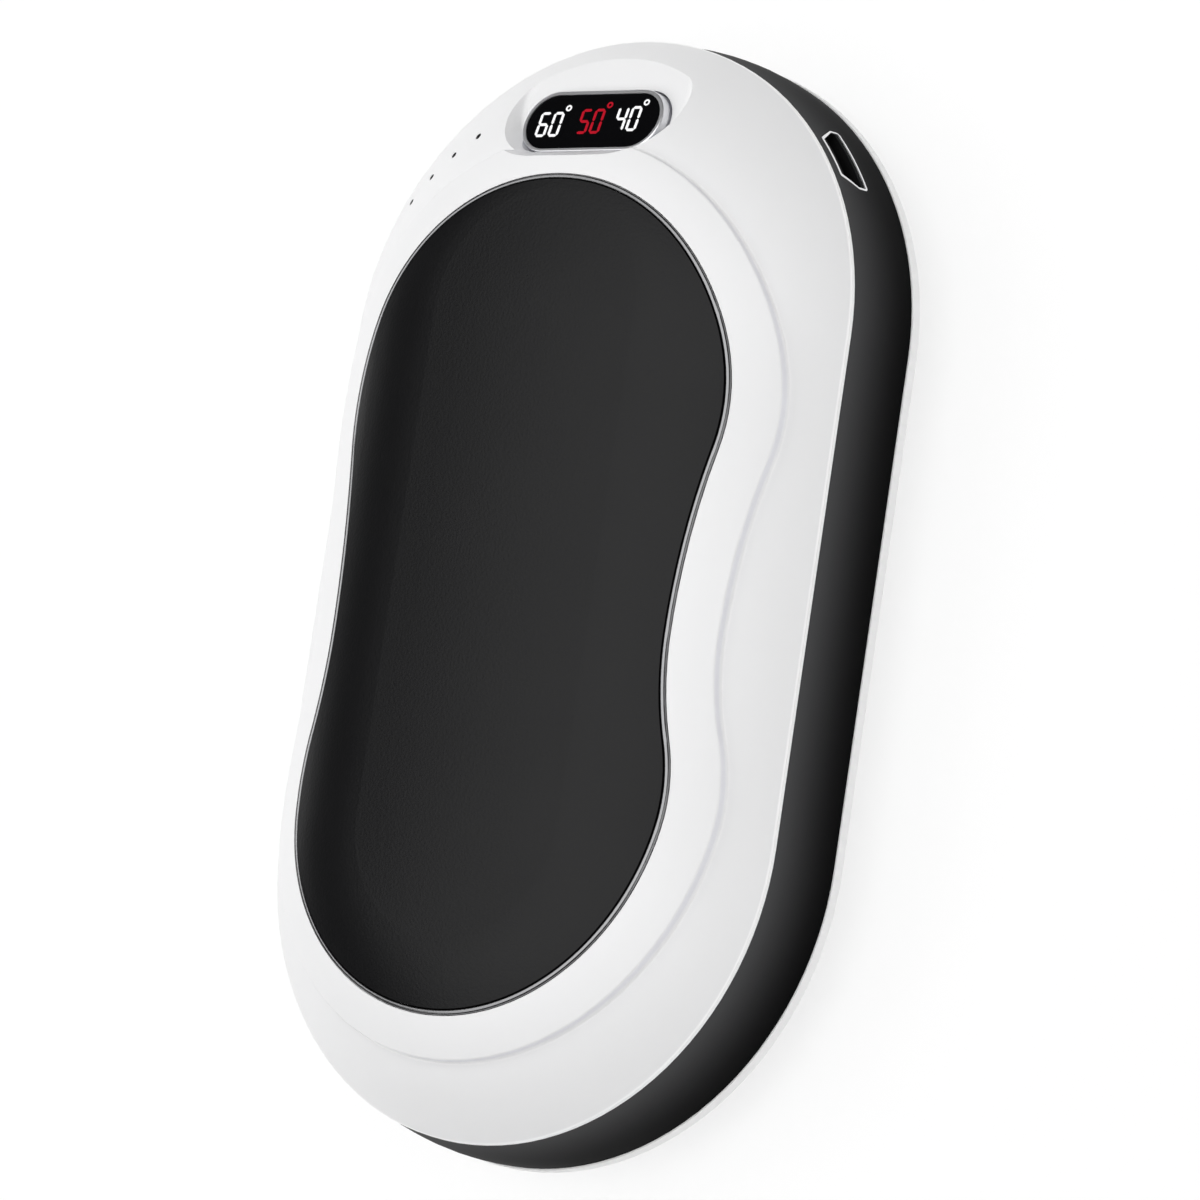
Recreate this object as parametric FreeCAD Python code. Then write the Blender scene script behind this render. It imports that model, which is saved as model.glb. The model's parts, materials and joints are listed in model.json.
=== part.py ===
# Rechargeable hand warmer: a stadium-shaped pocket casing with a crowned heat panel, a lit press key and a
# charging socket. Millimetres, +X right, +Y towards the key, +Z out of the heat panel, with the origin at
# the middle of the flat resting face of the back shell.
import FreeCAD, Part
import math
import os

# Casing outline and walls
half_width = 30.0
end_room_length = 22.75
wall = 2.0
cut_overrun = 1.0
touch_tolerance = 0.01

# Heights of the casing, stacked up from the resting face
back_rise = 6.0
back_lip_height = 1.2
band_height = 8.96
front_lip_height = 0.45
front_rise = 10.3
plateau_step = 1.0

# Front dome
crown_radius = 144.0
shoulder_radius = 25.0
plateau_margin = 3.95
step_foot_radius = 0.3
step_brow_radius = 0.25

# Back shell
back_flare_width = 0.73
back_flat_half_width = 18.0

# Band between the two shells
band_wall = 2.2
band_inset = 0.15
band_bulge = 0.45
skirt_wall = 1.4
skirt_height = 2.0
skirt_root = 1.5
skirt_clearance = 0.15

# Heat panel, its trim and the layers under it
key_lobe_margin = 7.24
key_lobe_gap = 16.26
end_lobe_margin = 7.54
end_lobe_gap = 10.81
waist_margin = 9.42
waist_place_share = 0.407
pocket_depth = 1.5
pocket_clearance = 0.05
trim_width = 0.6
trim_proud = 0.2
trim_edge_radius = 0.22
panel_proud = 0.1
panel_thickness = 1.0
film_thickness = 0.25
film_margin = 0.5
sensor_length = 2.0
sensor_width = 1.2
sensor_height = 0.6
sensor_hole_radius = 1.8
sensor_relief = 0.5
tail_end_gap = 2.4
tail_width = 5.0
tail_thickness = 0.2
tail_slot_clearance = 0.5

# Press key with its display window
key_end_gap = 9.78
key_half_length = 8.4
key_half_height = 3.36
key_sink_depth = 1.6
key_tilt_angle = 16.0
key_rim = 0.4
key_rim_radius = 0.15
key_side_clearance = 0.2
key_flange_width = 0.9
key_flange_thickness = 0.8
key_flange_gap = 0.05
key_travel = 0.5
key_guide_wall = 1.3
lens_thickness = 1.2
lens_recess = 0.1
lens_clearance = 0.03
lens_ledge = 0.5
guide_depth = 1.4
stem_radius = 1.0
stem_gap = 0.05

# Scoop that the key stands in
scoop_half_length = 9.55
scoop_half_height = 5.0
scoop_shift = 2.6
scoop_depth = 1.2
scoop_corner = 0.8
scoop_flare_angle = 40.0
scoop_wall = 1.4

# Level lights on the left shoulder, on an arc round the panel
level_count = 4
level_margin = 8.54
level_first_angle = 116.6
level_pitch_angle = 6.39
level_hole_radius = 0.34
level_pin_clearance = 0.03
level_pin_recess = 0.05
level_base_radius = 1.0
level_base_depth = 1.6
level_light_inset = 1.1

# Charging socket
port_angle = 37.6
port_drop = 2.65
port_back_half_length = 3.75
port_front_half_length = 2.45
port_half_height = 1.65
port_side_height = 1.3
port_corner_radius = 0.4
port_sheet = 0.22
port_length = 6.6
port_band_clearance = 0.05
plug_back_half_length = 3.45
plug_front_half_length = 2.6
plug_half_height = 0.95
plug_side_height = 1.0
plug_room_depth = 5.0
insert_setback = 0.12
insert_clearance = 0.03
tongue_width = 3.7
tongue_thickness = 0.6
tongue_setback = 1.0

# Main board and what is soldered to it
board_thickness = 1.0
board_edge_gap = 0.6
board_cell_gap = 2.6
board_tab_half_width = 4.6
board_tab_gap = 0.5
board_hole_clearance = 0.5
board_post_aside = 4.57
board_post_ahead = 2.87
board_post_radius = 2.2
board_screw_radius = 0.9
board_screw_length = 4.0
board_screw_head_radius = 1.8
board_screw_head_height = 1.2
light_length = 1.6
light_width = 0.8
light_height = 0.6
light_pitch = 5.2
light_offset = 1.5
switch_length = 4.0
switch_width = 2.8
switch_height = 1.5
switch_offset = -1.0
plunger_radius = 0.9
plunger_clearance = 0.05
plunger_rise = 0.6
plunger_length = 1.2
chip_length = 5.0
chip_width = 4.0
chip_height = 1.5
chip_pitch = 7.0
chip_row_shift = 0.35
coil_size = 5.0
coil_height = 4.0
coil_x = -13.5
coil_setback = 10.8
coil_corner = 1.0
capacitor_radius = 2.0
capacitor_height = 5.4
capacitor_pitch = 5.0
capacitor_row_x = 5.0
capacitor_setback = 8.4
plug_body_length = 6.0
plug_body_width = 3.4
plug_body_height = 3.6
plug_body_setback = 0.4
tail_clamp_length = 7.0
tail_clamp_width = 2.4
tail_clamp_height = 1.2

# Cells, their strips, leads and pads
cell_radius = 9.2
cell_length = 65.0
cell_spacing_gap = 0.2
cell_shift = 3.9
cell_bed = 1.4
cell_fit = 0.1
cell_nub_radius = 4.0
cell_nub_height = 0.4
cell_crimp_depth = 0.4
cell_crimp_width = 1.0
cell_crimp_place = 3.0
cell_corner = 0.5
strip_thickness = 0.15
strip_height = 8.0
strip_reach = 4.0
lead_radius = 0.7
lead_pitch = 2.4
lead_valley_height = 6.2
lead_tab_margin = 0.2
pad_length = 46.0
pad_width = 8.0
pad_gap = 0.3
bed_thickness = 1.6
bed_height = 6.0
bed_spacing = 44.0

# Casing screws under the heat panel
boss_radius = 2.8
boss_margin = 2.9
boss_key_angle = 60.0
boss_end_angle = 69.0
boss_split_depth = 3.2
boss_seat = 1.4
screw_head_radius = 2.2
screw_head_height = 1.6
screw_head_clearance = 0.2
screw_radius = 1.15
screw_clearance = 0.2
screw_length = 8.0
pilot_clearance = 0.05
pilot_spare = 0.8

# Levels, places and widths that follow from the sizes above
straight_half_length = cell_length / 2 + end_room_length - half_width
casing_end_y = straight_half_length + half_width
back_edge_z = back_rise + back_lip_height
front_edge_z = back_edge_z + band_height
lip_z = front_edge_z + front_lip_height
apex_z = lip_z + front_rise
back_half_width = half_width + back_flare_width
band_inner = half_width - band_wall
skirt_outer = band_inner - skirt_clearance
skirt_inner = skirt_outer - skirt_wall
key_lobe_radius = half_width - key_lobe_margin
end_lobe_radius = half_width - end_lobe_margin
waist_half_width = half_width - waist_margin
key_lobe_y = casing_end_y - key_lobe_gap - key_lobe_radius
end_lobe_y = end_lobe_gap + end_lobe_radius - casing_end_y
waist_y = end_lobe_y + waist_place_share * (key_lobe_y - end_lobe_y)
floor_lift = plateau_step - pocket_depth
panel_top_lift = plateau_step + panel_proud
film_top_lift = panel_top_lift - panel_thickness
pad_top_lift = film_top_lift - film_thickness
cell_x = cell_radius + cell_spacing_gap / 2
cell_z = wall + cell_bed + cell_radius
cell_top_y = cell_length / 2 - cell_shift
cell_end_y = cell_top_y - cell_length
tail_y = key_lobe_y + key_lobe_radius - tail_end_gap
port_z = front_edge_z - port_drop
port_mouth = back_half_width + band_bulge
port_rear = half_width - port_length
board_bottom_z = port_z + port_half_height
board_top_z = board_bottom_z + board_thickness
board_radius = skirt_inner - board_edge_gap
board_front_y = cell_top_y + board_cell_gap
switch_top_z = board_top_z + switch_height
plunger_top_z = switch_top_z + plunger_rise
flange_bottom_z = board_top_z + light_height + key_travel + key_flange_gap
flange_top_z = flange_bottom_z + key_flange_thickness
collar_bottom_z = flange_top_z + key_flange_gap
key_y = casing_end_y - key_end_gap
boss_split = front_edge_z - boss_split_depth
X = FreeCAD.Vector(1, 0, 0)
Y = FreeCAD.Vector(0, 1, 0)
Z = FreeCAD.Vector(0, 0, 1)


def at(x=0, y=0, z=0):
    """A point or a shift."""
    return FreeCAD.Vector(x, y, z)


def line(start, end):
    return Part.LineSegment(start, end).toShape()


def arc(start, middle, end):
    return Part.Arc(start, middle, end).toShape()


def face_of(edges):
    return Part.Face(Part.Wire(edges))


def box(size_x, size_y, size_z, centre, base_z):
    """A block centred on a point in plan and standing on a level."""
    corner = at(centre.x - size_x / 2, centre.y - size_y / 2, base_z)
    return Part.makeBox(size_x, size_y, size_z, corner)


def rod(radius, centre, low, high):
    """An upright round rod between two levels."""
    return Part.makeCylinder(radius, high - low, at(centre.x, centre.y, low), Z)


def rounded(solid, edges, radius):
    """The solid with the given edges rounded."""
    return solid.makeFillet(radius, edges) if edges else solid


def swept_round(profile, half_run):
    """Carries a half section in the XZ plane round a stadium whose straight sides run along Y."""
    start = profile.translated(Y * -half_run)
    right = start.extrude(Y * (2 * half_run))
    left = right.mirror(at(), X)
    near = start.revolve(Y * -half_run, Z, -180)
    far = profile.translated(Y * half_run).revolve(Y * half_run, Z, 180)
    return right.multiFuse([left, near, far]).removeSplitter()


def ring(inner, outer, low, high):
    """A stadium-shaped wall between two half widths and two levels."""
    corners = [at(inner, 0, low), at(outer, 0, low), at(outer, 0, high), at(inner, 0, high)]
    profile = Part.Face(Part.makePolygon(corners + corners[:1]))
    return swept_round(profile, straight_half_length)


def pill(half_length, half_height, low, high, centre_y):
    """An upright prism with a stadium outline that runs along X."""
    run = half_length - half_height
    edges = [line(at(-run, -half_height), at(run, -half_height)),
             arc(at(run, -half_height), at(half_length), at(run, half_height)),
             line(at(run, half_height), at(-run, half_height)),
             arc(at(-run, half_height), at(-half_length), at(-run, -half_height))]
    return face_of(edges).translated(at(0, centre_y, low)).extrude(Z * (high - low))


def half_outline(side, lobe_radius, lobe_y, offset):
    """One half of the panel outline, grown by an offset: from waist to waist over a round lobe."""
    run = abs(lobe_y - waist_y)
    drawn_in = lobe_radius - waist_half_width
    neck_radius = (run ** 2 + waist_half_width ** 2 - lobe_radius ** 2) / (2 * drawn_in)
    centre = at(waist_half_width + neck_radius)
    share = (lobe_radius + offset) / (lobe_radius + neck_radius)
    start = at(waist_half_width + offset)
    touch = at(centre.x * share, side * run * (1 - share))
    lean = (start.sub(centre) + touch.sub(centre)).normalize()
    middle = centre + lean * (neck_radius - offset)
    tip = at(0, side * (run + lobe_radius + offset))
    back = [at(-point.x, point.y) for point in (touch, middle, start)]
    return [arc(start, middle, touch), arc(touch, tip, back[0]), arc(back[0], back[1], back[2])]


def peanut(offset):
    """Outline of the heat panel's trim, grown by an offset: two round lobes joined by a drawn-in waist."""
    edges = half_outline(1, key_lobe_radius, key_lobe_y, offset)
    edges += half_outline(-1, end_lobe_radius, end_lobe_y, offset)
    return Part.Face(Part.Wire(Part.__sortEdges__(edges))).translated(Y * waist_y)


def peanut_prism(offset):
    """The grown peanut as an upright prism through the front dome."""
    height = apex_z + plateau_step + wall - front_edge_z
    return peanut(offset).translated(Z * front_edge_z).extrude(Z * height)


def dome_circles():
    """Centres of the crown arc and of the shoulder arc that touches it and meets the lip."""
    crown = at(0, 0, apex_z - crown_radius)
    edge = at(half_width, 0, lip_z)
    reach = crown_radius - shoulder_radius
    span = edge.sub(crown)
    along = (reach ** 2 - shoulder_radius ** 2 + span.Length ** 2) / (2 * span.Length)
    aside = math.sqrt(reach ** 2 - along ** 2)
    unit = span * (1 / span.Length)
    shoulder = crown + unit * along + at(-unit.z, 0, unit.x) * aside
    return crown, shoulder


def dome(inset, low):
    """Everything under the front dome, down to a level, drawn in by an inset."""
    crown, shoulder = dome_circles()
    radius = shoulder_radius - inset
    top = crown + Z * (crown_radius - inset)
    lean = shoulder.sub(crown)
    meet = shoulder + lean * (radius / lean.Length)
    foot = at(shoulder.x + math.sqrt(radius ** 2 - (lip_z - shoulder.z) ** 2), 0, lip_z)
    middle = (meet.sub(shoulder) + foot.sub(shoulder)).normalize()
    crest = (meet.sub(crown) + top.sub(crown)).normalize()
    base = at(foot.x, 0, low)
    edges = [line(at(0, 0, low), base),
             line(base, foot),
             arc(foot, shoulder + middle * radius, meet),
             arc(meet, crown + crest * (crown_radius - inset), top),
             line(top, at(0, 0, low))]
    return swept_round(face_of(edges), straight_half_length)


def dome_level(reach):
    """Level of the outer dome's shoulder at a distance from the middle line."""
    shoulder = dome_circles()[1]
    return shoulder.z + math.sqrt(shoulder_radius ** 2 - (reach - shoulder.x) ** 2)


outer_dome = dome(0, 0)
key_z = dome_level(key_y - straight_half_length) - key_sink_depth
scoop_z = key_z - scoop_depth


def dome_at(lift):
    """The outer dome moved up or down."""
    return outer_dome.translated(Z * lift)


def layer(offset, low, high):
    """A peanut-shaped sheet between two levels that follow the dome."""
    return peanut_prism(offset).common(dome_at(high)).cut(dome_at(low))


def edges_on(solid, offset, lift):
    """Edges of a solid that lie on the grown peanut wall at a level that follows the dome."""
    wall_face = peanut(offset).OuterWire.translated(Z * front_edge_z).extrude(Z * (apex_z + wall))
    sheet = dome_at(lift)
    found = []
    for edge in solid.Edges:
        point = edge.valueAt((edge.FirstParameter + edge.LastParameter) / 2)
        vertex = Part.Vertex(point)
        near_wall = wall_face.distToShape(vertex)[0] < touch_tolerance
        near_sheet = min(face.distToShape(vertex)[0] for face in sheet.Faces) < touch_tolerance
        if near_wall and near_sheet:
            found.append(edge)
    return found


def under_tilt(drop):
    """A large block below the key's tilted face, a given drop under it."""
    size = 2 * half_width
    block = Part.makeBox(2 * size, 2 * size, size, at(-size, -size, -size))
    block.rotate(at(), X, -key_tilt_angle)
    return block.translated(at(0, key_y, key_z - drop))


def scoop(grow):
    """Dish round the key with a flat tilted floor and flared sides, grown on all sides by a wall."""
    corner = scoop_corner + grow
    flare = math.radians(scoop_flare_angle)
    half_turn = (math.pi / 2 - flare) / 2
    foot = at(scoop_half_height)
    heart = foot + Z * corner
    bend = heart + at(math.sin(half_turn), 0, -math.cos(half_turn)) * corner
    side = heart + at(math.cos(flare), 0, -math.sin(flare)) * corner
    top = scoop_depth + front_rise + grow
    brim = at(side.x + (top - side.z) * math.tan(flare), 0, top)
    edges = [line(at(), foot),
             arc(foot, bend, side),
             line(side, brim),
             line(brim, at(0, 0, top)),
             line(at(0, 0, top), at())]
    dish = swept_round(face_of(edges), scoop_half_length - scoop_half_height)
    dish.rotate(at(), Z, 90)
    dish.rotate(at(), X, -key_tilt_angle)
    lean = math.radians(key_tilt_angle)
    place = at(0, key_y + scoop_shift, scoop_z - scoop_shift * math.tan(lean) - grow / math.cos(lean))
    return dish.translated(place)


def round_lobe(lobe_radius, lobe_y, margin, angle):
    """A place on an arc round a lobe of the panel, at a margin from its outline."""
    reach = lobe_radius + margin
    return at(reach * math.cos(math.radians(angle)), lobe_y + reach * math.sin(math.radians(angle)))


def boss_places():
    """Where the four casing screws stand, just inside the outline of the panel."""
    key_side = round_lobe(key_lobe_radius, key_lobe_y, -boss_margin, boss_key_angle)
    end_side = round_lobe(end_lobe_radius, end_lobe_y, -boss_margin, -boss_end_angle)
    return [key_side, at(-key_side.x, key_side.y), end_side, at(-end_side.x, end_side.y)]


def post_places():
    """Where the board is screwed to the front shell, beside the casing screws near the key."""
    post = boss_places()[0] + at(board_post_aside, board_post_ahead)
    return [post, at(-post.x, post.y)]


def level_places(inset):
    """The four level lights, on an arc round the panel, drawn in by an inset."""
    angles = [level_first_angle + index * level_pitch_angle for index in range(level_count)]
    return [round_lobe(key_lobe_radius, key_lobe_y, level_margin - inset, angle) for angle in angles]


def at_port(shape):
    """Turns a shape drawn along +X from the centre of the end towards the charging socket."""
    turned = shape.copy()
    turned.rotate(at(), Z, port_angle)
    return turned.translated(at(0, straight_half_length, port_z))


def slot_prism(back_half, front_half, half_height, side_height, start, end):
    """A prism along X, straight towards the back, upright at the sides and bevelled towards the front."""
    low = -half_height
    side = low + side_height
    points = [at(start, -back_half, low), at(start, back_half, low),
              at(start, back_half, side), at(start, front_half, half_height),
              at(start, -front_half, half_height), at(start, -back_half, side)]
    return Part.Face(Part.makePolygon(points + points[:1])).extrude(X * (end - start))


def port_prism(grow, start, end):
    """The socket's outline, grown or shrunk, with rounded edges."""
    body = slot_prism(port_back_half_length + grow, port_front_half_length + grow, port_half_height + grow,
                      port_side_height + grow, start, end)
    long_edges = [edge for edge in body.Edges if abs(edge.tangentAt(edge.FirstParameter).x) > 0.99]
    return rounded(body, long_edges, port_corner_radius + grow)


def band_envelope():
    """The band as if it were solid through."""
    low = at(back_half_width - band_inset, 0, back_edge_z)
    high = at(half_width - band_inset, 0, front_edge_z)
    belly = (low + high) * 0.5 + X * band_bulge
    edges = [line(at(0, 0, back_edge_z), low),
             arc(low, belly, high),
             line(high, at(0, 0, front_edge_z)),
             line(at(0, 0, front_edge_z), at(0, 0, back_edge_z))]
    return swept_round(face_of(edges), straight_half_length)


band_solid = band_envelope()


def make_mid_band():
    """Bulged black band with the slot for the socket."""
    body = band_solid.cut(ring(0, band_inner, 0, apex_z))
    slot = port_prism(port_band_clearance, port_rear, port_mouth + cut_overrun)
    return body.cut(at_port(slot))


def make_front_shell():
    """White crowned shell with the raised plateau, panel pocket, scoop, key guide, bosses and skirt."""
    plateau = peanut_prism(plateau_margin).common(dome_at(plateau_step))
    body = dome(0, front_edge_z).fuse(plateau).removeSplitter()
    body = rounded(body, edges_on(body, plateau_margin, plateau_step), step_brow_radius)
    body = rounded(body, edges_on(body, plateau_margin, 0), step_foot_radius)
    body = body.cut(dome(wall, 0))
    body = body.fuse(scoop(scoop_wall).common(outer_dome))
    body = body.fuse(ring(skirt_inner, skirt_outer, front_edge_z - skirt_height, lip_z + skirt_root))
    collar = pill(key_half_length + key_side_clearance + key_guide_wall,
                  key_half_height + key_side_clearance + key_guide_wall, collar_bottom_z, apex_z, key_y)
    body = body.fuse(collar.common(outer_dome))
    body = body.cut(scoop(0))
    opening = pill(key_half_length + key_side_clearance, key_half_height + key_side_clearance,
                   front_edge_z, apex_z + wall, key_y)
    body = body.cut(opening)
    for place in boss_places():
        body = body.fuse(rod(boss_radius, place, boss_split, apex_z).common(outer_dome))
    for place in post_places():
        body = body.fuse(rod(board_post_radius, place, board_top_z, apex_z).common(outer_dome))
    pocket = peanut_prism(0).cut(dome_at(floor_lift))
    body = body.cut(pocket)
    seat = boss_split + boss_seat
    for place in boss_places():
        body = body.cut(rod(screw_head_radius + screw_head_clearance, place, seat, apex_z + wall))
        body = body.cut(rod(screw_radius + screw_clearance, place, boss_split, apex_z))
    for place in post_places():
        pilot_top = board_top_z + board_screw_length
        body = body.cut(rod(board_screw_radius + pilot_clearance, place, board_top_z, pilot_top))
    for place in level_places(0):
        body = body.cut(rod(level_hole_radius, place, front_edge_z, apex_z))
    for place in level_places(level_light_inset):
        room = rod(level_base_radius + level_pin_clearance, place, front_edge_z, apex_z)
        body = body.cut(room.common(dome_at(-level_base_depth)))
    relief = apex_z + floor_lift - sensor_relief
    body = body.cut(rod(sensor_hole_radius, at(0, waist_y), relief, apex_z + wall))
    body = body.cut(tail_slot())
    notch_bottom = front_edge_z - skirt_height
    notch_height = board_top_z + board_hole_clearance - notch_bottom
    notch_width = 2 * board_tab_half_width + tail_slot_clearance
    notch = box(2 * port_length, notch_width, notch_height, at(half_width), notch_bottom - port_z)
    limit = ring(0, skirt_outer + skirt_clearance / 2, 0, apex_z)
    return body.cut(at_port(notch).common(limit))


def tail_slot():
    """Room for the heater's tail on its way down to the board."""
    return box(tail_width + tail_slot_clearance, tail_thickness + tail_slot_clearance, apex_z,
               at(0, tail_y), front_edge_z)


def cell_room(side):
    """The space that a cell takes up, with its fit."""
    return Part.makeCylinder(cell_radius + cell_fit, cell_length, at(side * cell_x, cell_end_y, cell_z), Y)


def make_back_shell():
    """White tray with a flat resting face, rounded shoulder, shelf, skirt, screw posts and cell beds."""
    run = back_half_width - back_flat_half_width
    radius = (run ** 2 + back_rise ** 2) / (2 * back_rise)

    def tray(inset):
        centre = at(back_flat_half_width, 0, radius)
        bend = radius - inset
        foot = at(back_flat_half_width, 0, inset)
        spread = math.sqrt(bend ** 2 - (radius - back_rise) ** 2)
        end = at(back_flat_half_width + spread, 0, back_rise)
        middle = (foot.sub(centre) + end.sub(centre)).normalize()
        brim = at(end.x, 0, back_edge_z)
        edges = [line(at(0, 0, inset), foot),
                 arc(foot, centre + middle * bend, end),
                 line(end, brim),
                 line(brim, at(0, 0, back_edge_z)),
                 line(at(0, 0, back_edge_z), at(0, 0, inset))]
        return swept_round(face_of(edges), straight_half_length)

    outside = tray(0)
    body = outside.cut(tray(wall))
    shelf = ring(skirt_inner, back_half_width, back_edge_z - skirt_root, back_edge_z)
    body = body.fuse(shelf.common(outside))
    body = body.fuse(ring(skirt_inner, skirt_outer, back_edge_z - skirt_root, back_edge_z + skirt_height))
    for place in boss_places():
        body = body.fuse(rod(boss_radius, place, wall / 2, boss_split))
    for side in (-1, 1):
        place = at(0, side * bed_spacing / 2 - cell_shift)
        body = body.fuse(box(4 * cell_radius, bed_thickness, bed_height, place, wall / 2))
    for side in (-1, 1):
        body = body.cut(cell_room(side))
    for place in boss_places():
        depth = screw_length - boss_seat + pilot_spare
        body = body.cut(rod(screw_radius + pilot_clearance, place, boss_split - depth, boss_split))
    return body


def make_panel_trim():
    """Bright bead that frames the heat panel and stands a little proud of the plateau."""
    outer = layer(-pocket_clearance, floor_lift, plateau_step + trim_proud)
    body = outer.cut(peanut_prism(-trim_width))
    for offset in (-pocket_clearance, -trim_width):
        body = rounded(body, edges_on(body, offset, plateau_step + trim_proud), trim_edge_radius)
    return body


def make_heat_panel():
    return layer(-trim_width - pocket_clearance, film_top_lift, panel_top_lift)


def make_heater_film():
    return layer(-trim_width - film_margin, pad_top_lift, film_top_lift)


def make_insulation_sheet():
    """Sheet between the heater and the pocket floor, pierced for the sensor and the heater's tail."""
    sheet = layer(-trim_width - pocket_clearance, floor_lift, pad_top_lift)
    sheet = sheet.cut(rod(sensor_hole_radius, at(0, waist_y), front_edge_z, apex_z + wall))
    return sheet.cut(tail_slot())


def make_thermistor():
    top = apex_z + pad_top_lift
    block = box(sensor_length, sensor_width, sensor_height + wall, at(0, waist_y), top - sensor_height)
    return block.common(dome_at(pad_top_lift))


def make_heater_tail():
    """Flat tail that carries the heater's current down to the board."""
    base = board_top_z + tail_clamp_height
    return box(tail_width, tail_thickness, apex_z, at(0, tail_y), base).common(dome_at(pad_top_lift))


def make_key_bezel():
    """Bright key frame: a rim round the window, a hollow body and a flange that keeps it in the shell."""
    face = under_tilt(0)
    body = pill(key_half_length, key_half_height, flange_bottom_z, apex_z + wall, key_y).common(face)
    brow = [edge for edge in body.Edges if edge.BoundBox.ZMin > flange_top_z + key_rim and not on_side(edge)]
    body = rounded(body, brow, key_rim_radius)
    flange = pill(key_half_length + key_flange_width, key_half_height + key_flange_width,
                  flange_bottom_z, flange_top_z, key_y)
    body = body.fuse(flange)
    seat = pill(key_half_length - key_rim, key_half_height - key_rim, flange_bottom_z, apex_z + wall, key_y)
    body = body.cut(seat.cut(under_tilt(lens_recess + lens_thickness)))
    hollow = pill(key_half_length - key_rim - lens_ledge, key_half_height - key_rim - lens_ledge,
                  flange_bottom_z, apex_z + wall, key_y)
    body = body.cut(hollow)
    room = pill(key_half_length - key_rim, key_half_height - key_rim, 0, apex_z, key_y)
    return body.cut(room.common(under_tilt(lens_recess + lens_thickness + guide_depth)))


def on_side(edge):
    """True where an edge runs straight up."""
    return abs(edge.tangentAt(edge.FirstParameter).z) > 0.99


def make_key_lens():
    plate = pill(key_half_length - key_rim - lens_clearance, key_half_height - key_rim - lens_clearance,
                 flange_bottom_z, apex_z + wall, key_y)
    return plate.common(under_tilt(lens_recess)).cut(under_tilt(lens_recess + lens_thickness))


def make_light_guide():
    """Milky block under the window, with the stem that presses the switch."""
    inset = key_rim + lens_ledge + lens_clearance
    block = pill(key_half_length - inset, key_half_height - inset, flange_bottom_z, apex_z + wall, key_y)
    block = block.common(under_tilt(lens_recess + lens_thickness))
    block = block.cut(under_tilt(lens_recess + lens_thickness + guide_depth))
    stem = rod(stem_radius, at(0, key_y + switch_offset), plunger_top_z + stem_gap, apex_z)
    return block.fuse(stem.common(under_tilt(lens_recess + lens_thickness))).removeSplitter()


def make_switch_body():
    place = at(0, key_y + switch_offset)
    body = box(switch_length, switch_width, switch_height, place, board_top_z)
    bottom = plunger_top_z - plunger_length - key_travel
    return body.cut(rod(plunger_radius + plunger_clearance, place, bottom - plunger_clearance, switch_top_z))


def make_switch_plunger():
    return rod(plunger_radius, at(0, key_y + switch_offset), plunger_top_z - plunger_length, plunger_top_z)


def make_temperature_leds():
    lights = []
    for index in (-1, 0, 1):
        place = at(index * light_pitch, key_y + light_offset)
        lights.append(box(light_length, light_width, light_height, place, board_top_z))
    return Part.makeCompound(lights)


def make_level_leds():
    lights = []
    for place in level_places(level_light_inset):
        lights.append(box(light_length, light_width, light_height, place, board_top_z))
    return Part.makeCompound(lights)


def make_level_light_pipes():
    """Four dark pins that bring the level lights up to the shoulder of the shell."""
    pins = []
    low = board_top_z + light_height
    for tip, foot in zip(level_places(0), level_places(level_light_inset)):
        pin = rod(level_hole_radius - level_pin_clearance, tip, low, apex_z)
        pin = pin.common(dome_at(-level_pin_recess))
        base = rod(level_base_radius, foot, low, apex_z).common(dome_at(-level_base_depth))
        pins.append(pin.fuse(base).removeSplitter())
    return Part.makeCompound(pins)


def make_main_board():
    """Board that fills the key's end, with a tab under the socket and holes for the screw bosses."""
    centre = at(0, straight_half_length)
    disc = rod(board_radius, centre, board_bottom_z, board_top_z)
    depth = casing_end_y - board_front_y
    keep = box(2 * half_width, depth, board_thickness, at(0, board_front_y + depth / 2), board_bottom_z)
    reach = band_inner - board_tab_gap
    tab = box(reach - board_radius / 2, 2 * board_tab_half_width, board_thickness,
              at((reach + board_radius / 2) / 2), board_bottom_z - port_z)
    board = disc.fuse(at_port(tab)).removeSplitter().common(keep)
    for place in boss_places():
        board = board.cut(rod(boss_radius + board_hole_clearance, place, board_bottom_z, board_top_z))
    for place in post_places():
        board = board.cut(rod(board_screw_radius + pilot_clearance, place, board_bottom_z, board_top_z))
    return board


def make_usb_socket():
    """Folded metal socket whose mouth is flush with the band."""
    tube = port_prism(0, port_rear, port_mouth)
    room = port_prism(-port_sheet, port_rear + port_sheet, port_mouth)
    return at_port(tube.cut(room)).common(band_solid)


def make_usb_tongue():
    """Black insert that lines the socket, with the contact tongue in its plug room."""
    shrink = port_sheet + insert_clearance
    body = port_prism(-shrink, port_rear + shrink, port_mouth)
    room_start = half_width - plug_room_depth
    room = slot_prism(plug_back_half_length, plug_front_half_length, plug_half_height, plug_side_height,
                      room_start, port_mouth)
    reach = half_width - tongue_setback - port_rear - shrink
    place = at(port_rear + shrink + reach / 2)
    tongue = box(reach, tongue_width, tongue_thickness, place, -tongue_thickness / 2)
    body = at_port(body.cut(room).fuse(tongue).removeSplitter())
    inward = at_port(Part.Vertex(insert_setback, 0, 0)).Point.sub(at_port(Part.Vertex(0, 0, 0)).Point)
    return body.common(band_solid.translated(inward * -1))


def make_control_chips():
    chips = []
    for index in (-1, 0, 1):
        place = at(index * chip_pitch, key_y - chip_row_shift)
        chips.append(box(chip_length, chip_width, chip_height, place, board_bottom_z - chip_height))
    return Part.makeCompound(chips)


def make_power_coil():
    place = at(coil_x, board_front_y + coil_setback)
    body = box(coil_size, coil_size, coil_height, place, board_bottom_z - coil_height)
    return rounded(body, [edge for edge in body.Edges if on_side(edge)], coil_corner)


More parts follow.
